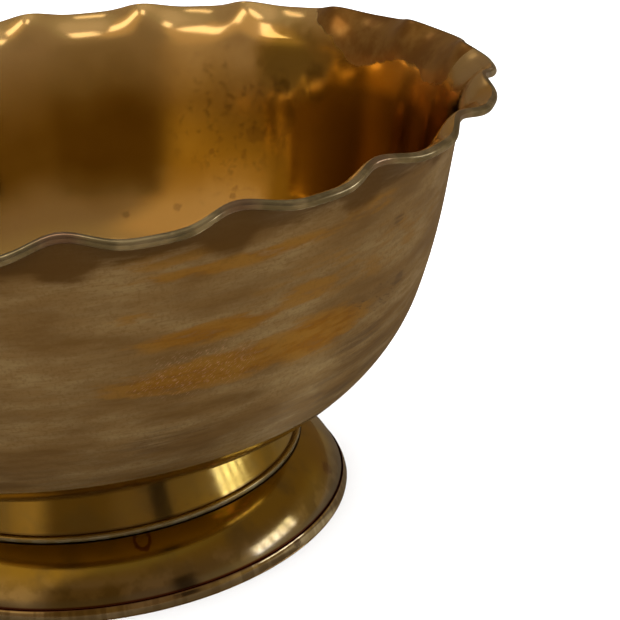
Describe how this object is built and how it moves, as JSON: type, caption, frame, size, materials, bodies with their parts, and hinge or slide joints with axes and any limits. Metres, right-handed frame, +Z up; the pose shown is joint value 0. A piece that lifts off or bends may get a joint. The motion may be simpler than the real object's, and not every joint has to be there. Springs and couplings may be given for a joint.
{
  "type": "footed bowl",
  "caption": "Spun brass bowl with a crimped, rolled rim on a round spun foot with a beaded collar.",
  "frame": {"origin": "centre of the circle that the base ring stands on", "axes": "+Z up through the middle of the bowl; +X and +Y in the plane it stands on"},
  "size_m": [0.259, 0.2583, 0.1304],
  "materials": {
    "bowl_brass": "polished inside, dull and streaked with tarnish outside",
    "wire_brass": "drawn wire, hidden in the rolled edge",
    "collar_brass": "polished, with a dark tarnished bead",
    "flare_brass": "polished, dulled towards the groove",
    "ring_brass": "turned and polished",
    "hidden_brass": "turned, unpolished",
    "solder": "dull grey soft solder"
  },
  "bodies": {
    "root": {"bowl_shell": "bowl_brass", "rim_wire": "wire_brass", "neck_collar": "collar_brass", "foot_flare": "flare_brass", "base_ring": "ring_brass", "base_solder": "solder", "bottom_boss": "hidden_brass", "boss_solder": "solder", "foot_stud": "hidden_brass", "clamp_washer": "hidden_brass", "hex_nut": "hidden_brass"}
  },
  "joints": []
}
